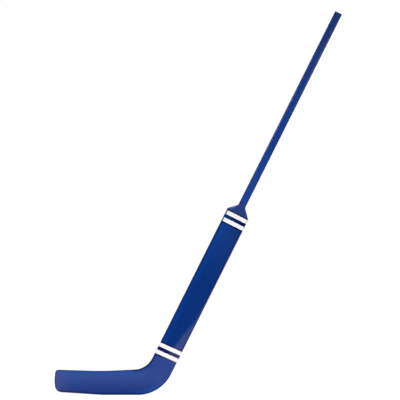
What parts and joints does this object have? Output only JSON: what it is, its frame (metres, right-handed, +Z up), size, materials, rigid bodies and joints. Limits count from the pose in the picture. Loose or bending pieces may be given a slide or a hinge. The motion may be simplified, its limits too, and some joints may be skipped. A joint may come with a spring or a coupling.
{
  "type": "hockey goalie stick",
  "caption": "Goalie stick with a curved blade, a wide foam-core paddle crossed by white bands, and a slim laminated shaft.",
  "frame": {"origin": "middle of the flat of the blade's sole, on the ice", "axes": "+Z up from the ice, +X from the toe towards the heel and shaft, +Y to the back face"},
  "size_m": [1.0405, 0.0311, 1.3855],
  "materials": {
    "shaft_paint": "satin painted glass wrap",
    "paddle_paint": "gloss clear coat over deep blue paint",
    "painted_wood": "hardwood, gloss painted on its outside",
    "blade_paint": "matt paint over woven glass",
    "wear_strip": "hard plastic, lightly scuffed",
    "band_film": "white gloss film",
    "light_wood": "sawn light wood, unfinished",
    "hardwood": "planed hardwood, unfinished",
    "glass_strip": "glass fibre in resin, slightly see-through",
    "foam": "rigid foam, fine cells"
  },
  "bodies": {
    "root": {"shaft_sleeve": "shaft_paint", "paddle_front_skin": "paddle_paint", "paddle_back_skin": "paddle_paint", "paddle_leading_edge": "painted_wood", "paddle_trailing_edge": "painted_wood", "leading_shoulder_block": "painted_wood", "trailing_shoulder_block": "painted_wood", "paddle_front_veneer": "painted_wood", "paddle_back_veneer": "painted_wood", "blade_front_skin": "blade_paint", "blade_back_skin": "blade_paint", "blade_wear_strip": "wear_strip", "heel_band_low": "band_film", "heel_band_high": "band_film", "neck_band_low": "band_film", "neck_band_high": "band_film", "shaft_core": "light_wood", "blade_upper_stave": "light_wood", "blade_lower_stave": "light_wood", "shaft_front_ply": "hardwood", "shaft_back_ply": "hardwood", "heel_block": "hardwood", "shaft_front_stiffener": "glass_strip", "shaft_back_stiffener": "glass_strip", "paddle_leading_foam": "foam", "paddle_trailing_foam": "foam"}
  },
  "joints": []
}
